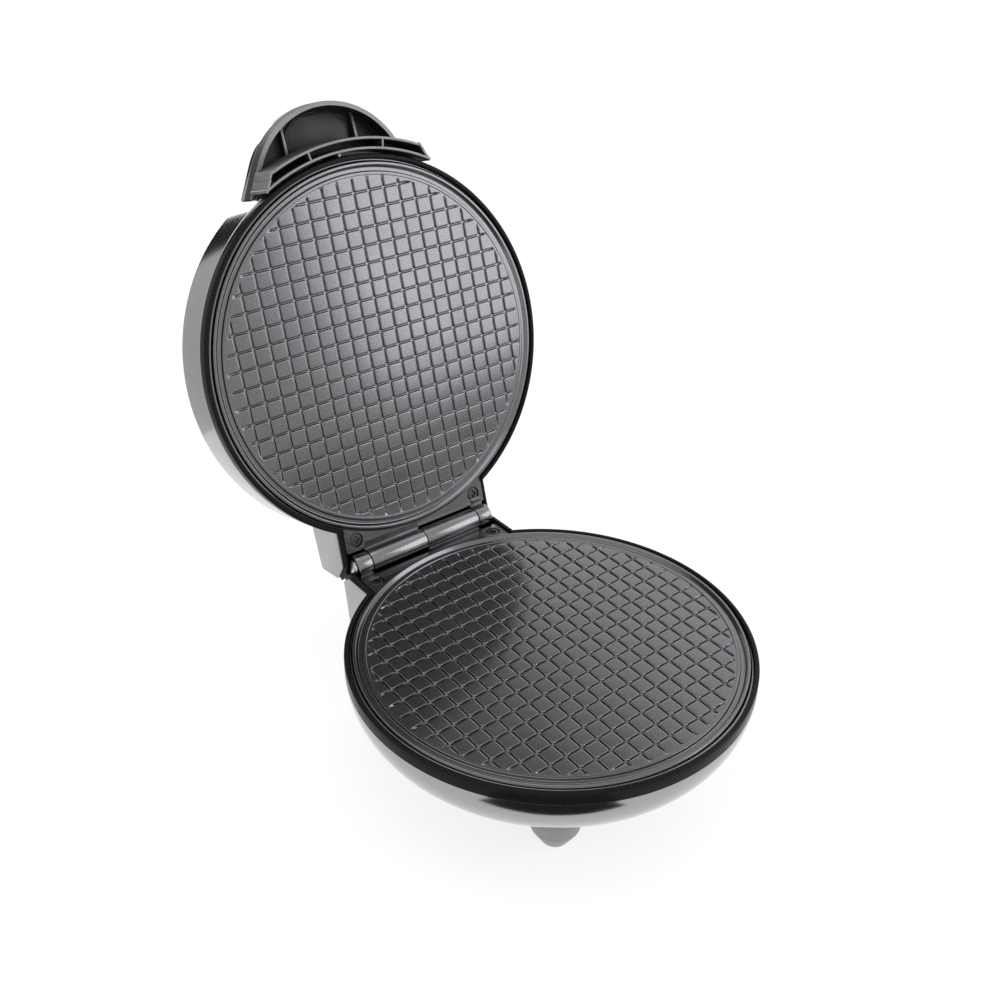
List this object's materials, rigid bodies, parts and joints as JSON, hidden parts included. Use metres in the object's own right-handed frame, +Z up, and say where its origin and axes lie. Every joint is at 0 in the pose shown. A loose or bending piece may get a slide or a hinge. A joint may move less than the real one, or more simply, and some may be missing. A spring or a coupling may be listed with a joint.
{
  "type": "waffle cone maker",
  "caption": "Round waffle cone maker with square-grid non-stick plates, hinged lid with half-round handle, and a bowl-shaped base on feet.",
  "frame": {"origin": "on the table, below the middle of the appliance's box with the lid open", "axes": "+Z up, -Y towards the user and the handle side, +X to the user's right, along the hinge axis"},
  "size_m": [0.2048, 0.312, 0.2972],
  "materials": {
    "housing_paint": "glossy silver-grey metallic paint over heat-resistant plastic",
    "black_plastic": "semi-gloss black heat-resistant plastic",
    "dark_plastic": "satin grey moulded plastic",
    "rubber_feet": "matt black rubber",
    "plate_coating": "dark grey non-stick coating, slightly sparkling satin",
    "steel_screws": "dulled steel",
    "hinge_steel": "bright ground steel",
    "element_sheath": "heat-dulled steel sheath",
    "bright_metal": "bright aluminium sheet",
    "ceramic": "glazed ivory ceramic",
    "wire_sleeve": "braided glass sleeving",
    "red_lens": "translucent red lens",
    "green_lens": "translucent green lens"
  },
  "bodies": {
    "base": {"base_shell": "housing_paint", "base_rim": "black_plastic", "bottom_cover": "dark_plastic", "bottom_cover_screws": "steel_screws", "front_foot_left": "dark_plastic", "front_foot_right": "dark_plastic", "rear_foot_left": "dark_plastic", "rear_foot_right": "dark_plastic", "foot_pads": "rubber_feet", "lower_plate": "plate_coating", "lower_plate_screws": "steel_screws", "hinge_pin": "hinge_steel", "pin_clips": "hinge_steel", "lower_element": "element_sheath", "lower_element_clamps": "bright_metal", "lower_heat_shield": "bright_metal", "lower_shield_pillars": "bright_metal", "thermostat": "ceramic", "thermal_fuse": "ceramic", "terminal_block": "ceramic", "cord_gland": "black_plastic", "base_wiring": "wire_sleeve"},
    "lid": {"lid_shell": "housing_paint", "lid_rim": "black_plastic", "handle": "black_plastic", "handle_bracket": "black_plastic", "handle_screws": "steel_screws", "upper_plate": "plate_coating", "upper_plate_screws": "steel_screws", "upper_element": "element_sheath", "upper_element_clamps": "bright_metal", "upper_heat_shield": "bright_metal", "upper_shield_pillars": "bright_metal", "upper_thermal_fuse": "ceramic", "power_lens": "red_lens", "ready_lens": "green_lens", "lamp_holder": "ceramic", "lid_wiring": "wire_sleeve"}
  },
  "joints": [
    {"name": "lid_hinge", "type": "hinge", "parent": "base", "child": "lid", "pos_m": [0, 0.05699, 0.0704], "axis": [1, 0, 0], "range_deg": [0, 106.9]}
  ]
}
